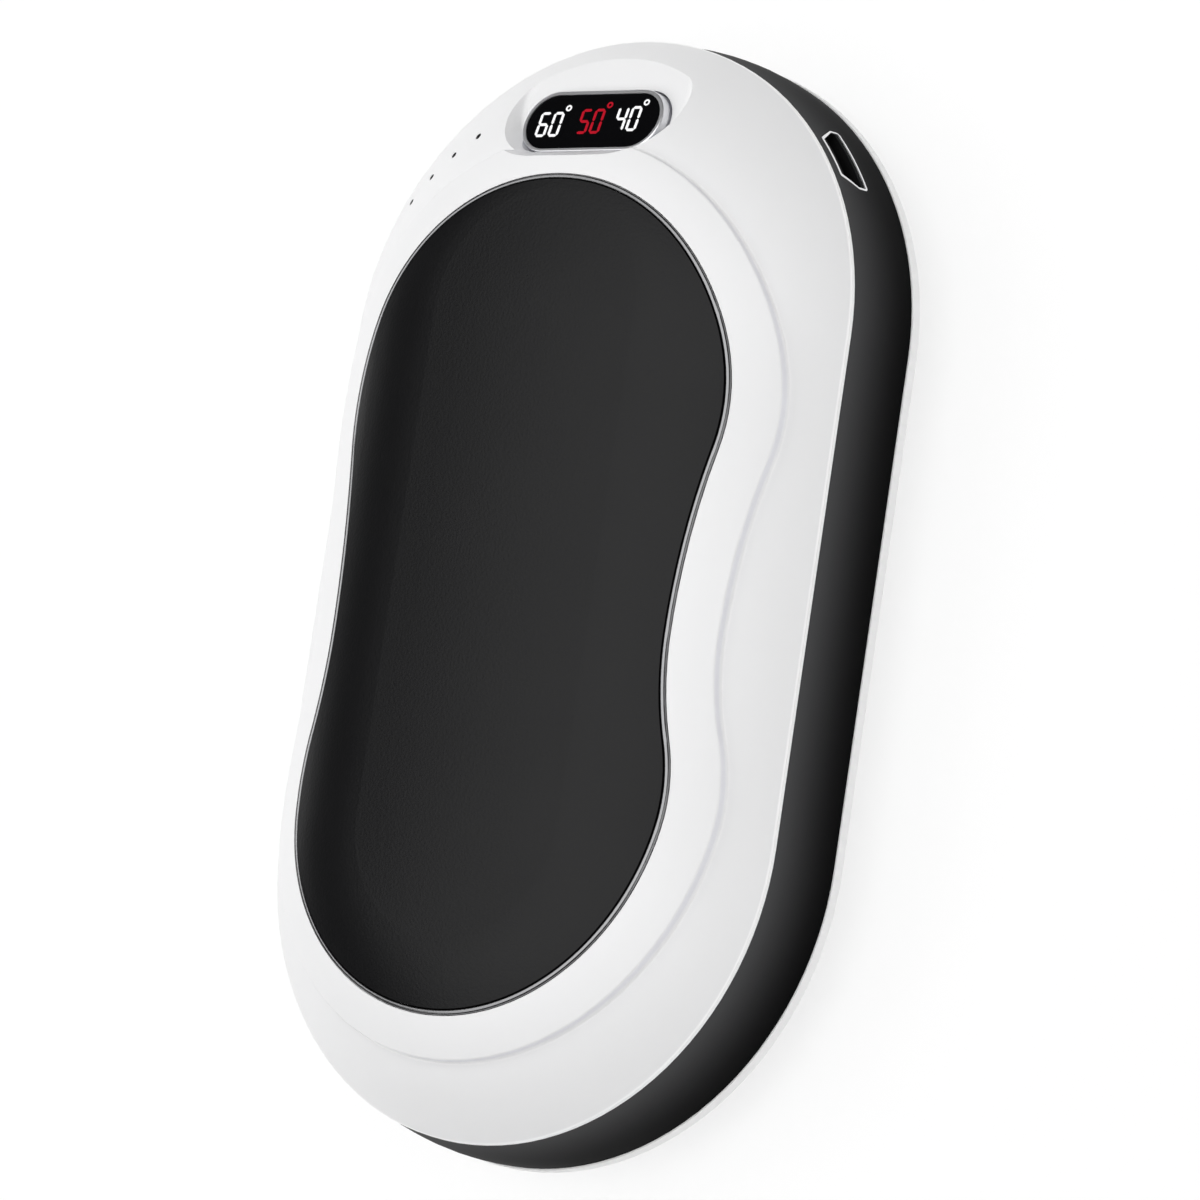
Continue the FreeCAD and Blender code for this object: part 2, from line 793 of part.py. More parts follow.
def make_capacitors():
    cans = []
    for index in (0, 1):
        place = at(capacitor_row_x + index * capacitor_pitch, board_front_y + capacitor_setback)
        cans.append(rod(capacitor_radius, place, board_bottom_z - capacitor_height, board_bottom_z))
    return Part.makeCompound(cans)


def battery_plug_y():
    """Face of the battery plug, just inside the front edge of the board."""
    return board_front_y + plug_body_setback


def make_battery_plug():
    place = at(0, battery_plug_y() + plug_body_width / 2)
    return box(plug_body_length, plug_body_width, plug_body_height, place, board_top_z)


def make_tail_clamp():
    return box(tail_clamp_length, tail_clamp_width, tail_clamp_height, at(0, tail_y), board_top_z)


def make_cell(side):
    """Round cell lying along Y, with its crimp and its raised contact towards the key."""
    neck = cell_radius - cell_crimp_depth
    crimp = cell_length - cell_crimp_place
    half = cell_crimp_width / 2
    corner = cell_corner * (1 - math.sqrt(0.5))
    points = at(), at(cell_radius - cell_corner), at(cell_radius, cell_corner), at(cell_radius, crimp - half)
    edges = [line(points[0], points[1]),
             arc(points[1], at(cell_radius - corner, corner), points[2]),
             line(points[2], points[3]),
             arc(points[3], at(neck, crimp), at(cell_radius, crimp + half)),
             line(at(cell_radius, crimp + half), at(cell_radius, cell_length - cell_corner)),
             arc(at(cell_radius, cell_length - cell_corner), at(cell_radius - corner, cell_length - corner),
                 at(cell_radius - cell_corner, cell_length)),
             line(at(cell_radius - cell_corner, cell_length), at(cell_nub_radius, cell_length)),
             line(at(cell_nub_radius, cell_length), at(cell_nub_radius, cell_length + cell_nub_height)),
             line(at(cell_nub_radius, cell_length + cell_nub_height), at(0, cell_length + cell_nub_height)),
             line(at(0, cell_length + cell_nub_height), at())]
    body = face_of(edges).revolve(at(), Y, 360)
    return body.translated(at(side * cell_x, cell_end_y, cell_z))


def make_strip(y, side):
    """Welded strip that joins the two cells at one end, with a tab up to its lead."""
    bar_length = 2 * (cell_x + strip_reach)
    bar = box(bar_length, strip_thickness, strip_height, at(0, y), cell_z - strip_height / 2)
    tab_width = 2 * (lead_radius + lead_tab_margin)
    tab_height = lead_valley_height + lead_radius + lead_tab_margin
    tab = box(tab_width, strip_thickness, tab_height, at(side * lead_pitch / 2, y), cell_z)
    return bar.fuse(tab).removeSplitter()


def make_positive_strip():
    return make_strip(cell_top_y + cell_nub_height + strip_thickness / 2, 1)


def make_negative_strip():
    return make_strip(cell_end_y - strip_thickness / 2, -1)


def make_lead(side, start_y):
    """Lead from a strip's tab along the valley between the cells to the battery plug."""
    start = at(side * lead_pitch / 2, start_y, cell_z + lead_valley_height)
    return Part.makeCylinder(lead_radius, battery_plug_y() - start_y, start, Y)


def make_positive_lead():
    return make_lead(1, cell_top_y + cell_nub_height + strip_thickness)


def make_negative_lead():
    return make_lead(-1, cell_end_y)


def make_cell_pads():
    """Foam pads that press the cells down on their beds."""
    pads = []
    for side in (-1, 1):
        block = box(pad_width, pad_length, apex_z - cell_z, at(side * cell_x, -cell_shift), cell_z)
        pads.append(block.common(dome(wall + pad_gap, 0)).cut(cell_room(side)))
    return Part.makeCompound(pads)


def make_case_screws():
    screws = []
    for place in boss_places():
        seat = boss_split + boss_seat
        head = rod(screw_head_radius, place, seat, seat + screw_head_height)
        screws.append(head.fuse(rod(screw_radius, place, seat - screw_length, seat)).removeSplitter())
    return Part.makeCompound(screws)


def make_board_screws():
    screws = []
    for place in post_places():
        head = rod(board_screw_head_radius, place, board_bottom_z - board_screw_head_height, board_bottom_z)
        shank = rod(board_screw_radius, place, board_bottom_z, board_bottom_z + board_screw_length)
        screws.append(head.fuse(shank).removeSplitter())
    return Part.makeCompound(screws)


def main():
    """Builds every piece and writes one file for each."""
    pieces = {
        "front_shell": make_front_shell(),
        "mid_band": make_mid_band(),
        "back_shell": make_back_shell(),
        "panel_trim": make_panel_trim(),
        "heat_panel": make_heat_panel(),
        "heater_film": make_heater_film(),
        "insulation_sheet": make_insulation_sheet(),
        "thermistor": make_thermistor(),
        "heater_tail": make_heater_tail(),
        "tail_clamp": make_tail_clamp(),
        "key_bezel": make_key_bezel(),
        "key_lens": make_key_lens(),
        "light_guide": make_light_guide(),
        "switch_body": make_switch_body(),
        "switch_plunger": make_switch_plunger(),
        "temperature_leds": make_temperature_leds(),
        "level_leds": make_level_leds(),
        "level_light_pipes": make_level_light_pipes(),
        "main_board": make_main_board(),
        "usb_socket": make_usb_socket(),
        "usb_tongue": make_usb_tongue(),
        "control_chips": make_control_chips(),
        "power_coil": make_power_coil(),
        "capacitors": make_capacitors(),
        "battery_plug": make_battery_plug(),
        "cell_left": make_cell(-1),
        "cell_right": make_cell(1),
        "positive_strip": make_positive_strip(),
        "negative_strip": make_negative_strip(),
        "positive_lead": make_positive_lead(),
        "negative_lead": make_negative_lead(),
        "cell_pads": make_cell_pads(),
        "case_screws": make_case_screws(),
        "board_screws": make_board_screws(),
    }
    os.makedirs("parts", exist_ok=True)
    for name, shape in pieces.items():
        shape.exportStep(os.path.join("parts", name + ".step"))
        print(name, len(shape.Solids), shape.isValid(), round(shape.Volume, 2))


main()
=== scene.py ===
import json
import logging
import math
from dataclasses import dataclass, field
from enum import Enum

import bmesh
import bpy
from mathutils import Matrix, Vector


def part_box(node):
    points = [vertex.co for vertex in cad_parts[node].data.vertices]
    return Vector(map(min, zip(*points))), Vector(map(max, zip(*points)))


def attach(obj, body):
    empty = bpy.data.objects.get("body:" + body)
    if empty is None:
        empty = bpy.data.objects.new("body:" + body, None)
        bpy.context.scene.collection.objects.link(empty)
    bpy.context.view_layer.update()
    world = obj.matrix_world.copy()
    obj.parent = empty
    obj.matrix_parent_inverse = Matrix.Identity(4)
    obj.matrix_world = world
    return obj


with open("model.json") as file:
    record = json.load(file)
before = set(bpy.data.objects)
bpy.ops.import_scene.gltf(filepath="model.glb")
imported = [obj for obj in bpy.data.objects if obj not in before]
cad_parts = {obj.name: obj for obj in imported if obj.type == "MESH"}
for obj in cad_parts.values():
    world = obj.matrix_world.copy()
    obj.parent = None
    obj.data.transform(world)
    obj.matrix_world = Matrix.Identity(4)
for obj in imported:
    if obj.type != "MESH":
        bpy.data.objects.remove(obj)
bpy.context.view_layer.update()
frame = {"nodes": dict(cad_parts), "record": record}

MM = 0.001
FLOAT = "NodeSocketFloat"
COLOUR = "NodeSocketColor"
Colour = tuple[float, float, float]
Node = bpy.types.Node
Socket = bpy.types.NodeSocket
Tree = bpy.types.NodeTree
log = logging.getLogger("hand_warmer")


def math_node(tree: Tree, operation: str, *values: Socket | float, clamp: bool = False) -> Socket:
    """Add a math node.

    Args:
        tree: Tree that gets the node.
        operation: What the node works out.
        *values: Its inputs in order, each a socket to link or a plain number.
        clamp: Whether the result is kept between zero and one.

    Returns:
        The node's output.
    """
    node = tree.nodes.new("ShaderNodeMath")
    node.operation = operation
    node.use_clamp = clamp
    for place, value in zip(node.inputs, values):
        if isinstance(value, bpy.types.NodeSocket):
            tree.links.new(value, place)
        else:
            place.default_value = value
    return node.outputs[0]


def upward_ramp(tree: Tree, coordinate: str) -> Node:
    """Add a ramp over the upward part of a texture coordinate.

    Args:
        tree: Tree that gets the nodes.
        coordinate: Name of the coordinate.

    Returns:
        The ramp, whose ends are still to be set.
    """
    place = tree.nodes.new("ShaderNodeTexCoord")
    parts = tree.nodes.new("ShaderNodeSeparateXYZ")
    ramp = tree.nodes.new("ShaderNodeMapRange")
    tree.links.new(place.outputs[coordinate], parts.inputs[0])
    tree.links.new(parts.outputs["Z"], ramp.inputs["Value"])
    return ramp


class Effect(Enum):
    """Node groups that the finishes share."""

    MOTTLE = "colour_mottle"
    SMUDGE = "handling_smudge"
    GRAIN = "mould_grain"
    BRUSHED = "brushed_lines"
    TRACKS = "etched_tracks"
    HOLLOW_HIGHLIGHT = "painted_highlight_in_hollows"
    STEEP_SHADE_TINT = "painted_shade_on_steep_walls"
    FADE = "fade_along_height"


@dataclass
class EffectLibrary:
    """Builds each shared node group once and hands it out."""

    mottle_detail: float = 4.0
    smudge_detail: float = 3.0
    grain_detail: float = 2.0
    line_detail: float = 3.0
    line_stretch: tuple[float, float, float] = (1.0, 0.06, 1.0)
    track_waviness: float = 1.2
    track_level: float = 0.62
    hollow_samples: int = 12
    built: dict[Effect, Tree] = field(default_factory=dict)

    def get(self, effect: Effect) -> Tree:
        """Give a group, building it at its first use.

        Args:
            effect: Which group is wanted.

        Returns:
            The node tree of the group.
        """
        if effect not in self.built:
            maker = {
                Effect.MOTTLE: self.mottle,
                Effect.SMUDGE: self.smudge,
                Effect.GRAIN: self.grain,
                Effect.BRUSHED: self.brushed,
                Effect.TRACKS: self.tracks,
                Effect.HOLLOW_HIGHLIGHT: self.hollow,
                Effect.STEEP_SHADE_TINT: self.steep,
                Effect.FADE: self.fade,
            }[effect]
            self.built[effect] = maker(effect.value)
        return self.built[effect]

    @staticmethod
    def start(name: str, inputs: dict[str, str], label: str, kind: str = FLOAT) -> tuple[Tree, Node, Node]:
        """Open a new group with its sockets.

        Args:
            name: Name of the group.
            inputs: Socket type by input name.
            label: Name of the output.
            kind: Socket type of the output.

        Returns:
            The tree, its input node and its output node.
        """
        tree = bpy.data.node_groups.new(name, "ShaderNodeTree")
        for input_label, input_kind in inputs.items():
            tree.interface.new_socket(name=input_label, in_out="INPUT", socket_type=input_kind)
        tree.interface.new_socket(name=label, in_out="OUTPUT", socket_type=kind)
        return tree, tree.nodes.new("NodeGroupInput"), tree.nodes.new("NodeGroupOutput")

    @staticmethod
    def noise(tree: Tree, scale: Socket, detail: float,
              stretch: tuple[float, float, float] | None = None) -> Socket:
        """Add a noise on the piece's own coordinates.

        Args:
            tree: Tree that gets the nodes.
            scale: Socket that gives the noise's scale.
            detail: Octaves of the noise.
            stretch: Factors on the coordinates, if they are stretched.

        Returns:
            The noise's value, around one half.
        """
        where = tree.nodes.new("ShaderNodeTexCoord").outputs["Object"]
        if stretch:
            mapping = tree.nodes.new("ShaderNodeMapping")
            mapping.inputs["Scale"].default_value = stretch
            tree.links.new(where, mapping.inputs["Vector"])
            where = mapping.outputs[0]
        noise = tree.nodes.new("ShaderNodeTexNoise")
        noise.inputs["Detail"].default_value = detail
        tree.links.new(where, noise.inputs["Vector"])
        tree.links.new(scale, noise.inputs["Scale"])
        return noise.outputs["Fac"]

    def spread(self, tree: Tree, given: Node, detail: float) -> Socket:
        """Add a noise that gives a factor around one.

        Args:
            tree: Tree that gets the nodes.
            given: The group's input node, with Amount and Scale.
            detail: Octaves of the noise.

        Returns:
            One plus or minus a share of the amount.
        """
        noise = self.noise(tree, given.outputs["Scale"], detail)
        centred = math_node(tree, "SUBTRACT", noise, 0.5)
        return math_node(tree, "MULTIPLY_ADD", centred, given.outputs["Amount"], 1.0)

    def mottle(self, name: str) -> Tree:
        """Colour that is a little uneven, as cast or coated pieces are."""
        sockets = {"Colour": COLOUR, "Amount": FLOAT, "Scale": FLOAT}
        tree, given, result = self.start(name, sockets, "Colour", COLOUR)
        tint = tree.nodes.new("ShaderNodeVectorMath")
        tint.operation = "SCALE"
        tree.links.new(given.outputs["Colour"], tint.inputs[0])
        tree.links.new(self.spread(tree, given, self.mottle_detail), tint.inputs["Scale"])
        tree.links.new(tint.outputs[0], result.inputs["Colour"])
        return tree

    def smudge(self, name: str) -> Tree:
        """Roughness that varies where hands have polished the piece."""
        sockets = {"Roughness": FLOAT, "Amount": FLOAT, "Scale": FLOAT}
        tree, given, result = self.start(name, sockets, "Roughness")
        factor = self.spread(tree, given, self.smudge_detail)
        rough = math_node(tree, "MULTIPLY", given.outputs["Roughness"], factor)
        tree.links.new(rough, result.inputs["Roughness"])
        return tree

    def grain(self, name: str) -> Tree:
        """Height of a spark-eroded mould's fine grain."""
        tree, given, result = self.start(name, {"Scale": FLOAT}, "Height")
        noise = self.noise(tree, given.outputs["Scale"], self.grain_detail)
        tree.links.new(noise, result.inputs["Height"])
        return tree

    def brushed(self, name: str) -> Tree:
        """Height of fine drawn lines along one direction."""
        tree, given, result = self.start(name, {"Scale": FLOAT}, "Height")
        noise = self.noise(tree, given.outputs["Scale"], self.line_detail, self.line_stretch)
        tree.links.new(noise, result.inputs["Height"])
        return tree

    def tracks(self, name: str) -> Tree:
        """Mask of the conductor tracks on a board or a film."""
        tree, given, result = self.start(name, {"Scale": FLOAT}, "Mask")
        place = tree.nodes.new("ShaderNodeTexCoord")
        wave = tree.nodes.new("ShaderNodeTexWave")
        wave.bands_direction = "Y"
        wave.inputs["Distortion"].default_value = self.track_waviness
        tree.links.new(place.outputs["Object"], wave.inputs["Vector"])
        tree.links.new(given.outputs["Scale"], wave.inputs["Scale"])
        mask = math_node(tree, "GREATER_THAN", wave.outputs["Fac"], self.track_level)
        tree.links.new(mask, result.inputs["Mask"])
        return tree

    def hollow(self, name: str) -> Tree:
        """Mask of the narrow zone along inner corners, for a painted highlight there."""
        tree, given, result = self.start(name, {"Reach": FLOAT, "Gain": FLOAT}, "Mask")
        shade = tree.nodes.new("ShaderNodeAmbientOcclusion")
        shade.samples = self.hollow_samples
        shade.only_local = True
        tree.links.new(given.outputs["Reach"], shade.inputs["Distance"])
        covered = math_node(tree, "SUBTRACT", 1.0, shade.outputs["AO"])
        mask = math_node(tree, "MULTIPLY", covered, given.outputs["Gain"], clamp=True)
        tree.links.new(mask, result.inputs["Mask"])
        return tree

    def steep(self, name: str) -> Tree:
        """Mask of the walls whose facing rises less than a limit, for a painted shade tint on them."""
        tree, given, result = self.start(name, {"Start": FLOAT, "Full": FLOAT}, "Mask")
        ramp = upward_ramp(tree, "Normal")
        tree.links.new(given.outputs["Start"], ramp.inputs["From Min"])
        tree.links.new(given.outputs["Full"], ramp.inputs["From Max"])
        tree.links.new(ramp.outputs["Result"], result.inputs["Mask"])
        return tree

    def fade(self, name: str) -> Tree:
        """Mask that goes from zero to one between two heights of the object, slowly at first."""
        tree, given, result = self.start(name, {"Low": FLOAT, "High": FLOAT, "Bend": FLOAT}, "Mask")
        ramp = upward_ramp(tree, "Object")
        tree.links.new(given.outputs["Low"], ramp.inputs["From Min"])
        tree.links.new(given.outputs["High"], ramp.inputs["From Max"])
        bent = math_node(tree, "POWER", ramp.outputs["Result"], given.outputs["Bend"])
        tree.links.new(bent, result.inputs["Mask"])
        return tree


EFFECTS = EffectLibrary()


def place_group(tree: Tree, effect: Effect, **values: float | tuple) -> Node:
    """Put a shared group into a material.

    Args:
        tree: The material's tree.
        effect: The group to place.
        **values: Values of its inputs by name.

    Returns:
        The group node.
    """
    node = tree.nodes.new("ShaderNodeGroup")
    node.node_tree = EFFECTS.get(effect)
    for label, value in values.items():
        node.inputs[label].default_value = value
    return node


@dataclass(frozen=True)
class Overlay:
    """A second colour that a shared mask lays over a finish."""

    effect: Effect
    colour: Colour
    values: tuple[tuple[str, float], ...]

    def lay(self, tree: Tree, tint: Socket) -> Socket:
        """Lay the colour over what is there.

        Args:
            tree: The material's tree.
            tint: The colour so far.

        Returns:
            The colour with this one over it.
        """
        mix = tree.nodes.new("ShaderNodeMix")
        mix.data_type = "RGBA"
        colours = {socket.name: socket for socket in mix.inputs if socket.type == "RGBA"}
        colours["B"].default_value = (*self.colour, 1.0)
        mask = place_group(tree, self.effect, **dict(self.values))
        tree.links.new(mask.outputs["Mask"], mix.inputs["Factor"])
        tree.links.new(tint, colours["A"])
        return next(socket for socket in mix.outputs if socket.type == "RGBA")


@dataclass(frozen=True)
class Finish:
    """A surface finish with its colour, gloss and texture.

    Sizes and depths of the mottle, smudge and grain are in millimetres on the object.
    """

    colour: Colour
    roughness: float
    metallic: float = 0.0
    specular: float = 0.5
    coat: float = 0.0
    mottle: float = 0.06
    mottle_size: float = 9.0
    smudge: float = 0.25
    smudge_size: float = 14.0
    grain_size: float = 0.25
    grain_depth: float = 0.004
    texture: Effect = Effect.GRAIN
    overlays: tuple[Overlay, ...] = ()

    def material(self, name: str) -> bpy.types.Material:
        """Build the material of this finish.

        Args:
            name: Name of the material.

        Returns:
            The material.
        """
        material = bpy.data.materials.new(name)
        material.use_nodes = True
        tree = material.node_tree
        shader = tree.nodes["Principled BSDF"]
        shader.inputs["Metallic"].default_value = self.metallic
        shader.inputs["Specular IOR Level"].default_value = self.specular
        shader.inputs["Coat Weight"].default_value = self.coat
        tint = place_group(tree, Effect.MOTTLE, Colour=(*self.colour, 1.0), Amount=self.mottle,
                           Scale=1 / (self.mottle_size * MM))
        rough = place_group(tree, Effect.SMUDGE, Roughness=self.roughness, Amount=self.smudge,
                            Scale=1 / (self.smudge_size * MM))
        height = place_group(tree, self.texture, Scale=1 / (self.grain_size * MM))
        bump = tree.nodes.new("ShaderNodeBump")
        bump.inputs["Distance"].default_value = self.grain_depth * MM
        tree.links.new(height.outputs["Height"], bump.inputs["Height"])
        tree.links.new(bump.outputs["Normal"], shader.inputs["Normal"])
        tree.links.new(rough.outputs["Roughness"], shader.inputs["Roughness"])
        colour = tint.outputs["Colour"]
        for overlay in self.overlays:
            colour = overlay.lay(tree, colour)
        self.colour_links(tree, colour, shader)
        return material

    def colour_links(self, tree: Tree, tint: Socket, shader: Node) -> None:
        """Join the uneven colour to the shader.

        Args:
            tree: The material's tree.
            tint: The uneven colour.
            shader: The material's shader.
        """
        tree.links.new(tint, shader.inputs["Base Color"])


@dataclass(frozen=True)
class LitFinish(Finish):
    """A finish that glows with its own colour."""

    glow: float = 0.35

    def colour_links(self, tree: Tree, tint: Socket, shader: Node) -> None:
        """Feed the uneven colour to the surface and to its glow.

        Args:
            tree: The material's tree.
            tint: The uneven colour.
            shader: The material's shader.
        """
        super().colour_links(tree, tint, shader)
        tree.links.new(tint, shader.inputs["Emission Color"])
        shader.inputs["Emission Strength"].default_value = self.glow


@dataclass(frozen=True)
class FloorFinish(Finish):
    """A floor that is seen partly as plain white, so that it stays pale and keeps a soft shadow."""

    whiteness: float = 0.75

    def material(self, name: str) -> bpy.types.Material:
        """Build the floor's material.

        Args:
            name: Name of the material.

        Returns:
            The material, white in part for what is seen or mirrored, and plain for the light it sends back.
        """
        material = super().material(name)
        tree = material.node_tree
        path = tree.nodes.new("ShaderNodeLightPath")
        white = tree.nodes.new("ShaderNodeEmission")
        mix = tree.nodes.new("ShaderNodeMixShader")
        seen = path.outputs["Is Camera Ray"]
        for label in ("Is Glossy Ray", "Is Transmission Ray"):
            seen = math_node(tree, "MAXIMUM", seen, path.outputs[label])
        share = math_node(tree, "MULTIPLY", seen, self.whiteness)
        tree.links.new(share, mix.inputs["Fac"])
        tree.links.new(tree.nodes["Principled BSDF"].outputs["BSDF"], mix.inputs[1])
        tree.links.new(white.outputs["Emission"], mix.inputs[2])
        tree.links.new(mix.outputs["Shader"], tree.nodes["Material Output"].inputs["Surface"])
        return material


BAND_BACK, BAND_FRONT = (corner[2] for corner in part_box("mid_band"))
# Heights above the band's front edge where the painted lip highlight ends and where it is full; the white is
# that of the painted highlights.
LIP_HIGHLIGHT_END = 0.65 * MM
LIP_HIGHLIGHT_FULL = 0.8 * LIP_HIGHLIGHT_END
PAINTED_HIGHLIGHT_WHITE = (0.97, 0.97, 0.97)

# Painted light on the shell: a faint violet painted shade tint on walls that face sideways, such as the step,
# and a painted highlight in bright white at the step's foot and other inner corners, and from just above the
# lip downward.
SHELL_PAINTED_LIGHT = (
    # Painted shade tint: walls that face sideways are painted faintly violet.
    Overlay(Effect.STEEP_SHADE_TINT, (0.865, 0.865, 0.905), (("Start", 0.5), ("Full", 0.3))),
    # Painted highlight: inner corners, such as the step's foot, are painted bright white.
    Overlay(Effect.HOLLOW_HIGHLIGHT, PAINTED_HIGHLIGHT_WHITE, (("Reach", 0.4 * MM), ("Gain", 30.0))),
    # Painted highlight: the shell is painted bright white from just above its lip downward.
    Overlay(Effect.FADE, PAINTED_HIGHLIGHT_WHITE,
            (("Low", BAND_FRONT + LIP_HIGHLIGHT_END), ("High", BAND_FRONT + LIP_HIGHLIGHT_FULL), ("Bend", 1.0))),
)

# Painted shade: the band's black is painted lighter towards the front and darker towards the back, standing
# in for the light on its upper half.
BAND_PAINTED_SHADE = (
    Overlay(Effect.FADE, (0.078, 0.078, 0.08), (("Low", BAND_BACK), ("High", BAND_FRONT), ("Bend", 2.0))),
)
FILM_OVERLAYS = (Overlay(Effect.TRACKS, (0.62, 0.38, 0.12), (("Scale", 1 / (8.0 * MM)),)),)
BOARD_OVERLAYS = (Overlay(Effect.TRACKS, (0.04, 0.26, 0.1), (("Scale", 1 / (9.0 * MM)),)),)

FINISHES: dict[str, Finish] = {
    "white_shell": Finish((0.825, 0.825, 0.83), 0.42, mottle=0.015, smudge=0.2, grain_size=0.35,
                          grain_depth=0.003, overlays=SHELL_PAINTED_LIGHT),
    "black_band": Finish((0.002, 0.002, 0.0022), 0.5, specular=0.012, grain_size=0.3, overlays=BAND_PAINTED_SHADE),
    "black_panel": Finish((0.004, 0.004, 0.0045), 0.36, specular=0.18, mottle=0.3, mottle_size=0.4,
                          grain_size=0.3, grain_depth=0.02),
    "dark_chrome": Finish((0.22, 0.22, 0.225), 0.26, metallic=1.0, grain_depth=0.001),
    "key_chrome": Finish((0.8, 0.8, 0.82), 0.36, metallic=1.0, grain_depth=0.001),
    "smoked_window": Finish((0.002, 0.002, 0.0025), 0.08, specular=0.2, grain_depth=0.0005),
    "dark_pin": Finish((0.003, 0.003, 0.0035), 0.5, specular=0.05, grain_depth=0.0005),
    "socket_insert": Finish((0.004, 0.004, 0.0045), 0.7, specular=0.1, grain_depth=0.01),
    "milky_plastic": Finish((0.86, 0.86, 0.84), 0.5),
    "amber_film": Finish((0.5, 0.24, 0.05), 0.3, overlays=FILM_OVERLAYS),
    "pale_sheet": Finish((0.74, 0.7, 0.6), 0.85, mottle=0.2, mottle_size=1.5, grain_depth=0.05),
    "black_resin": Finish((0.02, 0.02, 0.022), 0.55, grain_depth=0.012),
    "pale_nylon": Finish((0.8, 0.78, 0.7), 0.5),
    "led_resin": Finish((0.82, 0.78, 0.55), 0.2, coat=0.5),
    "green_board": Finish((0.02, 0.17, 0.06), 0.35, overlays=BOARD_OVERLAYS),
    "socket_steel": Finish((0.8, 0.8, 0.81), 0.32, metallic=1.0, texture=Effect.BRUSHED),
    "grey_ferrite": Finish((0.14, 0.14, 0.15), 0.7, mottle=0.25, mottle_size=0.6, grain_depth=0.02),
    "can_aluminium": Finish((0.68, 0.69, 0.71), 0.3, metallic=1.0, texture=Effect.BRUSHED),
    "cell_sleeve": Finish((0.05, 0.2, 0.45), 0.28, coat=0.3),
    "nickel_strip": Finish((0.66, 0.65, 0.6), 0.32, metallic=1.0, texture=Effect.BRUSHED),
    "red_sleeve": Finish((0.5, 0.025, 0.025), 0.5),
    "black_sleeve": Finish((0.02, 0.02, 0.02), 0.5),
    "grey_foam": Finish((0.2, 0.2, 0.21), 0.95, mottle=0.4, mottle_size=0.8, grain_size=0.6, grain_depth=0.2),
    "screw_steel": Finish((0.5, 0.5, 0.51), 0.3, metallic=1.0, texture=Effect.BRUSHED),
    "lit_white": LitFinish((0.74, 0.74, 0.75), 0.5, mottle=0.04),
    "lit_red": LitFinish((0.34, 0.003, 0.012), 0.5, specular=0.1, mottle=0.1),
    "studio_floor": FloorFinish((0.97, 0.97, 0.97), 0.9, specular=0.0, mottle=0.01, mottle_size=900.0,
                                grain_size=4.0, grain_depth=0.02),
}


class FinishShelf:
    """Makes each finish's material once."""

    def __init__(self) -> None:
        """Start with no material made."""
        self.made: dict[str, bpy.types.Material] = {}

    def get(self, name: str) -> bpy.types.Material:
        """Give the material of a finish.

        Args:
            name: Name of the finish.

        Returns:
            Its material.
        """
        if name not in self.made:
            self.made[name] = FINISHES[name].material(name)
        return self.made[name]


SHELF = FinishShelf()
NODE_SLOTS: dict[str, str] = {row["node"]: row["material_slot"] for row in frame["record"]["subparts"]}


@dataclass
class SubAssembly:
    """Pieces of the frame that are dressed together."""

    nodes: tuple[str, ...] = ()
    own_finishes: tuple[tuple[str, str], ...] = ()

    def dress(self) -> None:
        """Give every node of this sub-assembly its own finish or that of its slot."""
        for node in self.nodes:
            finish = dict(self.own_finishes).get(node, NODE_SLOTS[node])
            mesh = frame["nodes"][node].data
            mesh.materials.clear()
            mesh.materials.append(SHELF.get(finish))
            log.info("dressed %s with %s", node, finish)

    @staticmethod
    def piece(name: str, mesh: bmesh.types.BMesh, body: str, slot: str, finish: str) -> bpy.types.Object:
        """Turn a built mesh into a piece that rides on a body.

        Args:
            name: Name of the piece.
            mesh: The built mesh, in the shared frame.
            body: Body that carries the piece.
            slot: The record's material slot of the piece; not used.
            finish: Name of the piece's finish.

        Returns:
            The new object.
        """
        data = bpy.data.meshes.new(name)
        bmesh.ops.recalc_face_normals(mesh, faces=mesh.faces)
        mesh.to_mesh(data)
        mesh.free()
        made = bpy.data.objects.new(name, data)
        bpy.context.scene.collection.objects.link(made)
        data.materials.append(SHELF.get(finish))
        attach(made, body)
        log.info("built %s on %s", name, body)
        return made


@dataclass
class Casing(SubAssembly):
    """The two white shells, the black band between them, and what they hold together with."""

    nodes: tuple[str, ...] = ("front_shell", "mid_band", "back_shell", "level_light_pipes", "case_screws")
    own_finishes: tuple[tuple[str, str], ...] = (("level_light_pipes", "dark_pin"),)


@dataclass
class HeatPanel(SubAssembly):
    """The waisted heat panel, its bead and the heater under it."""

    nodes: tuple[str, ...] = ("heat_panel", "panel_trim", "heater_film", "insulation_sheet", "thermistor",
                              "heater_tail", "tail_clamp")


class Segment(Enum):
    """Bars of a seven-bar numeral, as start and end on a grid of half heights."""

    TOP = ((0, 2), (1, 2))
    UPPER_LEFT = ((0, 1), (0, 2))
    UPPER_RIGHT = ((1, 1), (1, 2))
    MIDDLE = ((0, 1), (1, 1))
    LOWER_LEFT = ((0, 0), (0, 1))
    LOWER_RIGHT = ((1, 0), (1, 1))
    BOTTOM = ((0, 0), (1, 0))


NUMERALS: dict[str, tuple[Segment, ...]] = {
    "0": (Segment.TOP, Segment.UPPER_LEFT, Segment.UPPER_RIGHT, Segment.LOWER_LEFT, Segment.LOWER_RIGHT,
          Segment.BOTTOM),
    "4": (Segment.UPPER_LEFT, Segment.UPPER_RIGHT, Segment.MIDDLE, Segment.LOWER_RIGHT),
    "5": (Segment.TOP, Segment.UPPER_LEFT, Segment.MIDDLE, Segment.LOWER_RIGHT, Segment.BOTTOM),
    "6": (Segment.TOP, Segment.UPPER_LEFT, Segment.MIDDLE, Segment.LOWER_LEFT, Segment.LOWER_RIGHT,
          Segment.BOTTOM),
}


@dataclass(frozen=True)
class Reading:
    """One temperature reading, with the left end and the base line of its numerals in millimetres."""

    name: str
    numerals: str
    left: float
    base_line: float
    slot: str
    finish: str


